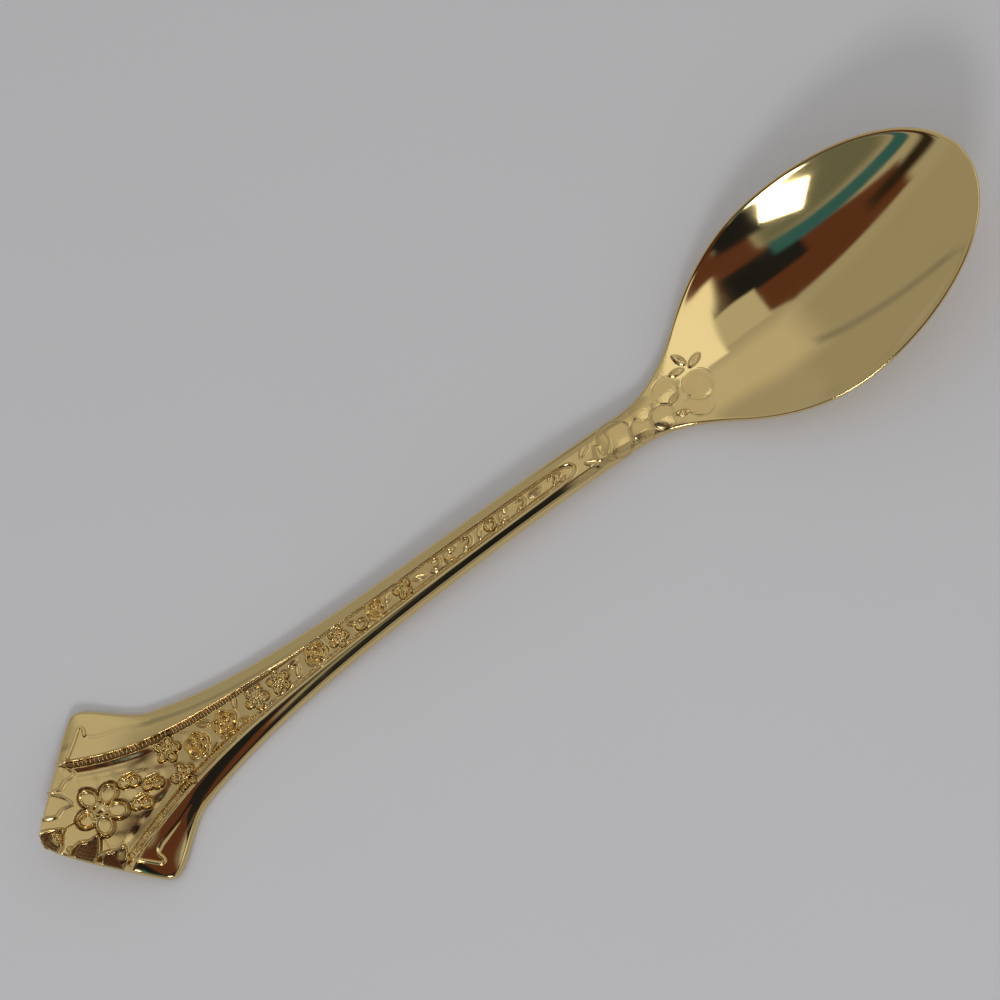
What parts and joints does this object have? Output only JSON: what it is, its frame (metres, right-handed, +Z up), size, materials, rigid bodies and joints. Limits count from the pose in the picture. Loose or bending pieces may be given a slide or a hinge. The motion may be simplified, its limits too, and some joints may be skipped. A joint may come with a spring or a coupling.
{
  "type": "demitasse spoon",
  "caption": "Small gold-plated coffee spoon with an egg-shaped bowl, a low arched stem and a shield-shaped handle end with a raised floral panel.",
  "frame": {"origin": "middle of the spoon's length and width, on the plane that the spoon lies on", "axes": "+X along the spoon towards the bowl's tip, +Z up, out of the bowl's open side"},
  "size_m": [0.109, 0.0214, 0.0112],
  "materials": {
    "gold_plate_bowl": "polished gold plate",
    "gold_plate_handle": "polished gold plate over struck relief"
  },
  "bodies": {
    "root": {"bowl": "gold_plate_bowl", "handle": "gold_plate_handle"}
  },
  "joints": []
}
